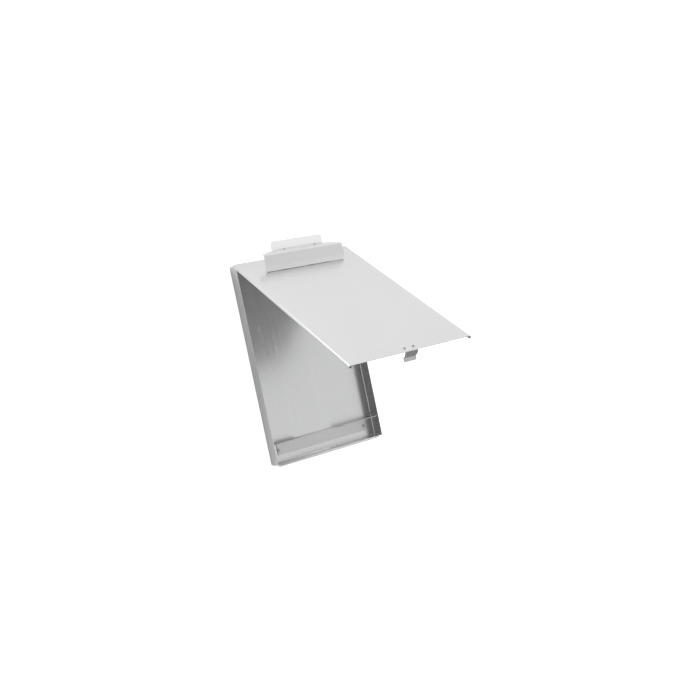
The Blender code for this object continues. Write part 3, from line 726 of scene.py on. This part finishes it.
class CLIPBOARD_OT_hinge(Operator):
    """Curl the two leaves of the continuous hinge and fit its pin"""

    bl_idname = "clipboard.make_hinge"
    bl_label = "Hinge"

    def execute(self, context):
        axis = Matrix.Translation(JOINTS["lid_hinge"]["pos_m"])
        self.make_leaf("hinge_leaf_tray", (BARREL_R, -LEAF_W), (0.0, 250.0), 0, on_tray, axis, "tray",
                       "tray_hinge_leaf")
        self.make_leaf("hinge_leaf_lid", (LEAF_W, BARREL_R), (90.0, 340.0), 1, on_lid, lid_frame(), "lid",
                       "lid_hinge_leaf")
        end = HINGE_HALF + PIN_END
        profile = [(0.0, -end), (PIN_R * 0.6, -end + 0.05 * MM), (PIN_R, -end + 0.4 * MM)]
        profile += [(radius, -height) for radius, height in reversed(profile)]
        across = Matrix.Rotation(math.radians(90), 4, "Y")
        pin = make_turned("hinge_rod", profile, hinge_metal(), axis @ across, 24)
        settle(pin, "tray", "hinge_steel", "hinge_pin")
        return {"FINISHED"}

    def make_leaf(self, name, plate_end, turn, which, place, stand, body, node):
        """A plate that runs into curled knuckles. which is 0 or 1, the knuckles it owns."""
        curl = arc_points((0.0, 0.0), BARREL_R, *turn, 26)
        direction = (Vector(plate_end) - Vector(curl[0])).normalized()
        shoulder = Vector(curl[0]) + direction * (BARREL_R + GAP)
        pitch = 2 * HINGE_HALF / KNUCKLES
        starts = [-HINGE_HALF + pitch * i for i in range(KNUCKLES)]
        ends = [(start + GAP / 2, start + pitch - GAP / 2) for start in starts]
        bm = sweep(sorted({x for pair in ends for x in pair}), [plate_end, tuple(shoulder)] + curl, place)
        owned = ends[which::2]
        reach = BARREL_R + GAP - NEAR

        def on_plate(face):
            middle = face.calc_center_median()
            return direction.dot(Vector((-middle.y if place is on_lid else middle.y, middle.z))) > reach

        spare = []
        for face in bm.faces:
            x = face.calc_center_median().x
            if not on_plate(face) and not any(low < x < high for low, high in owned):
                spare.append(face)
        bmesh.ops.delete(bm, geom=spare, context="FACES")
        bm.normal_update()
        plate = next(face for face in bm.faces if on_plate(face))
        if plate.normal.dot(Vector(place(0.0, *curl[0]))) < 0:
            bmesh.ops.reverse_faces(bm, faces=bm.faces)
        piece = make_sheet(name, bm, hinge_metal(), LEAF, 0.08 * MM, stand)
        settle(piece, body, "hinge_steel", node)


class CLIPBOARD_OT_lid(Operator):
    """Roll the lid's side edges"""

    bl_idname = "clipboard.make_lid"
    bl_label = "Lid"

    def execute(self, context):
        form = context.scene.clipboard_lid
        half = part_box("lid_panel")[1].x
        top = lid_top(form)
        right = arc_points((half - form.roll, top - form.roll), form.roll, 90.0, -180.0, form.roll_steps)
        left = [(-x, h) for x, h in reversed(right)]
        bm = sweep([LID_START, LID_END], left + right, along_lid)
        flat = max(bm.faces, key=lambda face: face.calc_area())
        if flat.normal.z < 0:
            bmesh.ops.reverse_faces(bm, faces=bm.faces)
        metal = sheet_metal("lid_aluminium", lid_turn())
        piece = make_sheet("lid_sheet", bm, metal, form.sheet, context.scene.clipboard_tray.edge, lid_frame())
        settle(piece, "lid", "sheet_aluminium", "lid_panel")
        return {"FINISHED"}


def lid_top(form):
    """The lid's upper face above the hinge axis."""
    return BARREL_R + GAP + form.sheet


class CLIPBOARD_OT_latch(Operator):
    """Bend the latch's spring strip and rivet it under the lid"""

    bl_idname = "clipboard.make_latch"
    bl_label = "Latch"

    def execute(self, context):
        top = lid_top(context.scene.clipboard_lid)
        upper = BARREL_R
        corners = [(LATCH_BACK, upper), (LATCH_LEG, upper), (LATCH_LEG, top - LEG_DROP)]
        corners += [(LATCH_LEG - LATCH_APEX, top - BEAD_DROP), (LATCH_LEG + TAB_FLARE, top - TAB_DROP)]
        section = rounded(corners, LATCH_BEND)
        bm = sweep([LATCH_X - LATCH_HALF, LATCH_X + LATCH_HALF], section, on_lid)
        round_corners(bm, lambda co: abs(co.y + LATCH_BACK) < NEAR or co.z < top - TAB_DROP + NEAR, LATCH_CORNER)
        face_towards(bm, (0.0, -1.0, 1.0))
        strip = make_sheet("latch_strip", bm, spring_metal(), LATCH_SHEET, 0.08 * MM, lid_frame())
        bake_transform(strip)
        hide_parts("latch_foot", "latch_hook")
        for side, name in ((-1, "left"), (1, "right")):
            spot = Matrix.Translation(on_lid(LATCH_X + side * LATCH_RIVET_X, LATCH_RIVET_S, top + 0.05 * MM))
            grip = top - upper + LATCH_SHEET + 0.1 * MM
            make_rivet("latch_stud_" + name, lid_frame() @ spot, grip, "lid", "latch_rivet_" + name)
        return {"FINISHED"}


class CLIPBOARD_OT_clip_base(Operator):
    """Bend the clip's base plate with its two ears, rivet it down and fit the pivot rod"""

    bl_idname = "clipboard.make_clip_base"
    bl_label = "Clip Base"

    def execute(self, context):
        form = context.scene.clipboard_clip
        lid = context.scene.clipboard_lid
        top = lid_top(lid)
        seat = top + GAP + form.sheet
        crown = top + PIVOT[1] + EAR_R
        section = [(CLIP_X - BASE_HALF, crown), (CLIP_X - BASE_HALF, seat - form.sheet)]
        section += [(CLIP_X + BASE_HALF, seat - form.sheet), (CLIP_X + BASE_HALF, crown)]
        bm = sweep(BASE_S, rounded(section, BASE_BEND), along_lid)
        for vert in bm.verts:
            if vert.co.z > crown - NEAR:
                vert.co.y = -PIVOT[0] + (vert.co.y + PIVOT[0]) * EAR_TAPER
        round_corners(bm, lambda co: co.z > crown - NEAR, EAR_CORNER)
        face_towards(bm, (0.0, 0.0, -1.0))
        metal = material_of("base_steel", lambda: clip_metal(
            "base_steel", context.scene.clipboard_looks.clip_colour, 0.3, 0.08))
        base = make_sheet("clip_plate", bm, metal, form.sheet, 0.14 * MM, lid_frame())
        settle(base, "lid", "clip_steel", "clip_base")
        grip = GAP + form.sheet + lid.sheet + 0.1 * MM
        for number, (x, s) in enumerate(BASE_RIVETS, 1):
            spot = Matrix.Translation(on_lid(CLIP_X + x * MM, s * MM, seat + 0.05 * MM))
            name = f"clip_rivet_{number}"
            make_rivet(f"clip_stud_{number}", lid_frame() @ spot, grip, "lid", name)
        end = BASE_HALF + ROD_END
        half = [(0.0, -end), (ROD_R * 0.55, -end + 0.05 * MM), (ROD_R * 0.85, -end + 0.25 * MM)]
        half.append((ROD_R, -end + 0.6 * MM))
        profile = half + [(radius, -height) for radius, height in reversed(half)]
        across = Matrix.Translation(on_lid(CLIP_X, PIVOT[0], top + PIVOT[1])) @ Matrix.Rotation(math.pi / 2, 4, "Y")
        rod = make_turned("pivot_rod", profile, hinge_metal(), lid_frame() @ across, 32)
        settle(rod, "lid", "clip_steel", "clip_pivot_rod")
        return {"FINISHED"}


def jaw_point(point):
    return (point[0] - PIVOT[0], point[1] - PIVOT[1])


def jaw_top(s, lower=0.0):
    """A point of the jaw's sloping top at s, lowered by the given amount, in the jaw's frame."""
    return jaw_point((s, JAW_BACK[1] + JAW_RISE * (s - JAW_BACK[0]) - lower))


class CLIPBOARD_OT_jaw(Operator):
    """Press the clip's jaw: slanted face, tapered top and two cheeks on the rod"""

    bl_idname = "clipboard.make_jaw"
    bl_label = "Jaw"

    def execute(self, context):
        form = context.scene.clipboard_clip
        outline = [jaw_point(point) for point in (JAW_FOOT, JAW_KNEE, JAW_BEND, JAW_BACK)]
        section = rounded(outline, form.bend, 10)
        bm = sweep([-JAW_HALF, -JAW_TOP_HALF, JAW_TOP_HALF, JAW_HALF], section, on_lid)
        back = Vector(on_lid(0.0, *outline[-1]))
        bend = Vector(on_lid(0.0, *outline[-2]))
        slack = (bend - back).length - JAW_END_DEPTH
        ends = [vert for vert in bm.verts if abs(vert.co.x) > JAW_HALF - NEAR]
        for vert in ends:
            if abs(vert.co.y - back.y) < NEAR:
                vert.co += (bend - back).normalized() * slack
        rearmost = max(vert.co.y for vert in ends)
        lowest = min(vert.co.z for vert in ends)

        def at_corner(co):
            return abs(co.x) > JAW_HALF - NEAR and (co.y > rearmost - NEAR or co.z < lowest + NEAR)

        round_corners(bm, at_corner, JAW_CORNER)
        face_towards(bm, (0.0, -1.0, 1.0))
        looks = context.scene.clipboard_looks
        metal = material_of("clip_steel", lambda: clip_metal("clip_steel", looks.clip_colour,
                                                             looks.clip_roughness))
        jaw = make_sheet("jaw_cover", bm, metal, form.sheet, 0.18 * MM, jaw_frame())
        settle(jaw, "clip_jaw", "clip_steel", "jaw_plate")
        for side, name in ((-1, "left"), (1, "right")):
            cheek = arc_points((0.0, 0.0), EAR_R, 200.0, 340.0, 20)
            cheek += [jaw_top(PIVOT[0] + reach, form.sheet / 2) for reach in CHEEK]
            x = side * (BASE_HALF + 2 * GAP)
            bm = bmesh.new()
            face = bm.faces.new([bm.verts.new(on_lid(x, s, h)) for s, h in cheek])
            face.normal_update()
            if face.normal.x * side < 0:
                face.normal_flip()
            bmesh.ops.translate(bm, verts=bm.verts, vec=(side * form.sheet, 0, 0))
            piece = make_sheet("jaw_cheek_" + name, bm, metal, form.sheet, 0.14 * MM, jaw_frame())
            settle(piece, "clip_jaw", "clip_steel")
        return {"FINISHED"}


class CLIPBOARD_OT_lever(Operator):
    """Press the thumb lever and rivet it under the jaw's top"""

    bl_idname = "clipboard.make_lever"
    bl_label = "Thumb Lever"

    def execute(self, context):
        form = context.scene.clipboard_clip
        looks = context.scene.clipboard_looks
        drop = form.sheet + GAP
        corners = [jaw_top(LEVER_FOOT_S, drop), jaw_top(JAW_BACK[0] - 1.0 * MM, drop), jaw_point(LEVER_TIP)]
        section = rounded(corners, LEVER_BEND)
        bm = sweep([-LEVER_HALF, LEVER_HALF], section, on_lid)
        tip = section[-1][1]
        round_corners(bm, lambda co: co.z > tip - NEAR, form.lever_corner)
        foot_y = on_lid(0.0, *section[0])[1]
        round_corners(bm, lambda co: abs(co.y - foot_y) < NEAR, LEVER_FOOT_CORNER)
        face_towards(bm, (0.0, -1.0, 1.0))
        metal = material_of("lever_plating", lambda: clip_metal("lever_plating", looks.lever_colour, 0.3, 0.02))
        lever = make_sheet("lever_blade", bm, metal, form.sheet, 0.18 * MM, jaw_frame())
        settle(lever, "clip_jaw", "clip_steel", "thumb_lever")
        slope = Matrix.Rotation(-math.atan(JAW_RISE), 4, "X")
        for side, name in ((-1, "left"), (1, "right")):
            s, h = jaw_top(LEVER_RIVET_S, -0.05 * MM)
            spot = Matrix.Translation(on_lid(side * LEVER_RIVET_X, s, h)) @ slope
            grip = 2 * form.sheet + GAP + LEVER_RIVET_LIFT
            make_rivet("lever_stud_" + name, jaw_frame() @ spot, grip, "clip_jaw", "lever_rivet_" + name)
        return {"FINISHED"}


class CLIPBOARD_OT_springs(Operator):
    """Wind the jaw's two torsion springs"""

    bl_idname = "clipboard.make_springs"
    bl_label = "Springs"

    def execute(self, context):
        pitch = 2 * SPRING_WIRE + GAP
        for side, sign in (("left", -1), ("right", 1)):
            points = [(0.0, *SPRING_UPPER_ARM)]
            for step in range(SPRING_TURNS * SPRING_STEPS + 1):
                turn = step / SPRING_STEPS
                angle = math.radians(SPRING_START) + math.tau * turn
                points.append((pitch * turn, SPRING_COIL * math.cos(angle), SPRING_COIL * math.sin(angle)))
            points.append((points[-1][0] + SPRING_WIRE, *SPRING_LOWER_ARM))
            curve = bpy.data.curves.new("spring_" + side, "CURVE")
            curve.dimensions = "3D"
            curve.bevel_depth = SPRING_WIRE
            curve.bevel_resolution = 3
            curve.use_fill_caps = True
            spline = curve.splines.new("POLY")
            spline.points.add(len(points) - 1)
            for target, (x, y, z) in zip(spline.points, points):
                target.co = (*(jaw_frame() @ Vector((sign * (SPRING_X + x), y, z))), 1.0)
            curve.materials.append(spring_metal())
            wire = bpy.data.objects.new("spring_wire_" + side, curve)
            context.scene.collection.objects.link(wire)
            mesh = bpy.data.meshes.new_from_object(wire.evaluated_get(context.evaluated_depsgraph_get()))
            bpy.data.objects.remove(wire)
            spring = bpy.data.objects.new("torsion_spring_" + side, mesh)
            context.scene.collection.objects.link(spring)
            mesh.shade_smooth()
            settle(spring, "clip_jaw", "spring_steel", "clip_spring_" + side)
        return {"FINISHED"}


# ---------------------------------------------------------------- studio

CAMERA_PLACE = (-0.89536, 0.07253, 1.55629)
CAMERA_RIGHT = (0.82019, -0.20356, 0.53466)
CAMERA_UP = (0.19578, 0.97800, 0.07201)
LAMP_PLACE = (0.5, 1.4, 3.0)
LAMP_AIM = (-0.2, -1.0, -3.0)
LAMP_SIZE = 3.0
CARD_PLACE = (-0.35, 0.8, 0.19)
CARD_SIZE = (0.8, 0.34)
CARD_BRIGHTNESS = 0.95
FLOOR_LIFT = 0.72
AMBIENT = 0.06
# soft panels round the set: direction, cosine where each starts, cosine where it is full, brightness
PANELS = (
    ((0.54, -0.08, 0.84), 0.70, 0.95, 0.75),
    ((0.50, -0.60, 0.62), 0.90, 0.97, 0.52),
    ((0.54, 0.76, 0.37), 0.87, 0.98, 1.45),
    ((-0.94, 0.0, 0.34), 0.88, 0.98, 0.60),
    ((-0.62, 0.72, 0.32), 0.62, 0.95, 0.60),
    ((-0.66, -0.66, 0.34), 0.66, 0.95, 0.60),
    ((0.95, -0.05, 0.30), 0.82, 0.97, 0.60),
)


class CLIPBOARD_OT_stage(Operator):
    """Lay the pale floor, set the soft light and place the camera"""

    bl_idname = "clipboard.make_stage"
    bl_label = "Stage"

    def execute(self, context):
        form = context.scene.clipboard_studio
        self.make_floor(form)
        self.make_light(form)
        self.make_world(context.scene)
        camera = bpy.data.cameras.new("studio_camera")
        camera.lens = form.lens
        camera.sensor_width = 36.0
        camera.clip_end = 50.0
        stand = bpy.data.objects.new("studio_camera", camera)
        right, up = Vector(CAMERA_RIGHT), Vector(CAMERA_UP)
        turn = Matrix((right, up, right.cross(up))).transposed().to_4x4()
        stand.matrix_world = Matrix.Translation(CAMERA_PLACE) @ turn
        context.scene.collection.objects.link(stand)
        context.scene.camera = stand
        context.scene.view_settings.view_transform = "Standard"
        return {"FINISHED"}

    def make_floor(self, form):
        bm = bmesh.new()
        bmesh.ops.create_grid(bm, x_segments=1, y_segments=1, size=form.floor_size / 2)
        material = bpy.data.materials.new("floor_white")
        material.use_nodes = True
        tree = material.node_tree
        shader = tree.nodes["Principled BSDF"]
        shader.inputs["Roughness"].default_value = 0.9
        shader.inputs["Specular IOR Level"].default_value = 0.1
        place = tree.nodes.new("ShaderNodeTexCoord")
        shade = noise(tree, place.outputs["Object"], 3.0)
        mixed = tree.nodes.new("ShaderNodeMix")
        mixed.data_type = "RGBA"
        mixed.inputs[6].default_value = (0.86, 0.86, 0.86, 1.0)
        mixed.inputs[7].default_value = (0.88, 0.88, 0.88, 1.0)
        tree.links.new(shade, mixed.inputs[0])
        tree.links.new(mixed.outputs[2], shader.inputs["Base Color"])
        seen = tree.nodes.new("ShaderNodeLightPath")
        lift = maths(tree, "MULTIPLY", seen.outputs["Is Camera Ray"], FLOOR_LIFT)
        shader.inputs["Emission Color"].default_value = (1.0, 1.0, 1.0, 1.0)
        tree.links.new(lift, shader.inputs["Emission Strength"])
        # the floor looks a little lighter to the camera than it is, so its far end doesn't fall off to grey
        floor = put_in_scene("studio_floor", bm, material, Matrix.Translation((0, 0, -0.0002)))

    def make_light(self, form):
        """A broad soft light that only lights the floor, and a low card behind that the rolled edges mirror."""
        lamp = bpy.data.lights.new("overhead_softbox", "AREA")
        lamp.shape = "DISK"
        lamp.size = LAMP_SIZE
        lamp.energy = 100.0 * form.floor_light
        box = bpy.data.objects.new("overhead_softbox", lamp)
        box.location = LAMP_PLACE
        box.rotation_euler = Vector(LAMP_AIM).to_track_quat("-Z", "Y").to_euler()
        box.visible_glossy = False
        bpy.context.scene.collection.objects.link(box)
        strip = bpy.data.lights.new("low_card", "AREA")
        strip.shape = "RECTANGLE"
        strip.size, strip.size_y = CARD_SIZE
        strip.energy = CARD_BRIGHTNESS * math.pi * strip.size * strip.size_y
        card = bpy.data.objects.new("low_card", strip)
        card.location = CARD_PLACE
        card.rotation_euler = Vector((0.0, -1.0, 0.0)).to_track_quat("-Z", "Y").to_euler()
        card.visible_camera = False
        bpy.context.scene.collection.objects.link(card)

    def make_world(self, scene):
        """Soft panels on a dim room, and plain white where the camera looks past the floor."""
        world = bpy.data.worlds.new("studio_room")
        scene.world = world
        world.use_nodes = True
        tree = world.node_tree
        tree.nodes.clear()
        facing = tree.nodes.new("ShaderNodeTexCoord")
        total = AMBIENT
        for direction, start, full, brightness in PANELS:
            near = tree.nodes.new("ShaderNodeVectorMath")
            near.operation = "DOT_PRODUCT"
            near.inputs[1].default_value = Vector(direction).normalized()
            tree.links.new(facing.outputs["Generated"], near.inputs[0])
            soft = add_node(tree, "ShaderNodeMapRange", From_Min=start, From_Max=full, To_Min=0.0, To_Max=brightness)
            soft.interpolation_type = "SMOOTHSTEP"
            tree.links.new(near.outputs["Value"], soft.inputs["Value"])
            total = maths(tree, "ADD", soft.outputs["Result"], total)
        room = add_node(tree, "ShaderNodeBackground", Color=(1.0, 1.0, 1.0, 1.0))
        tree.links.new(total, room.inputs["Strength"])
        plain = add_node(tree, "ShaderNodeBackground", Color=(1.0, 1.0, 1.0, 1.0), Strength=1.0)
        seen = tree.nodes.new("ShaderNodeLightPath")
        both = tree.nodes.new("ShaderNodeMixShader")
        tree.links.new(seen.outputs["Is Camera Ray"], both.inputs[0])
        tree.links.new(room.outputs[0], both.inputs[1])
        tree.links.new(plain.outputs[0], both.inputs[2])
        out = tree.nodes.new("ShaderNodeOutputWorld")
        tree.links.new(both.outputs[0], out.inputs["Surface"])


# ---------------------------------------------------------------- panel and registration

OPERATORS = (CLIPBOARD_OT_tray, CLIPBOARD_OT_shelf, CLIPBOARD_OT_hinge, CLIPBOARD_OT_lid, CLIPBOARD_OT_latch,
             CLIPBOARD_OT_clip_base, CLIPBOARD_OT_jaw, CLIPBOARD_OT_lever, CLIPBOARD_OT_springs, CLIPBOARD_OT_stage)
FORMS = (("clipboard_tray", TrayForm), ("clipboard_lid", LidForm), ("clipboard_clip", ClipForm),
         ("clipboard_looks", MetalLooks), ("clipboard_studio", StudioForm))


class CLIPBOARD_PT_panel(Panel):
    """Sizes, finishes and making of the clipboard"""

    bl_label = "Storage Clipboard"
    bl_idname = "CLIPBOARD_PT_panel"
    bl_space_type = "VIEW_3D"
    bl_region_type = "UI"
    bl_category = "Clipboard"

    def draw(self, context):
        for key, form in FORMS:
            box = self.layout.box()
            box.label(text=form.__doc__)
            for name in form.__annotations__:
                box.prop(getattr(context.scene, key), name)
        for operator in OPERATORS:
            self.layout.operator(operator.bl_idname)


def register():
    for key, form in FORMS:
        bpy.utils.register_class(form)
        setattr(bpy.types.Scene, key, PointerProperty(type=form))
    for operator in OPERATORS:
        bpy.utils.register_class(operator)
    bpy.utils.register_class(CLIPBOARD_PT_panel)


def unregister():
    bpy.utils.unregister_class(CLIPBOARD_PT_panel)
    for operator in reversed(OPERATORS):
        bpy.utils.unregister_class(operator)
    for key, form in reversed(FORMS):
        delattr(bpy.types.Scene, key)
        bpy.utils.unregister_class(form)


def main():
    register()
    for operator in OPERATORS:
        group, name = operator.bl_idname.split(".")
        getattr(getattr(bpy.ops, group), name)()


if __name__ == "__main__":
    main()
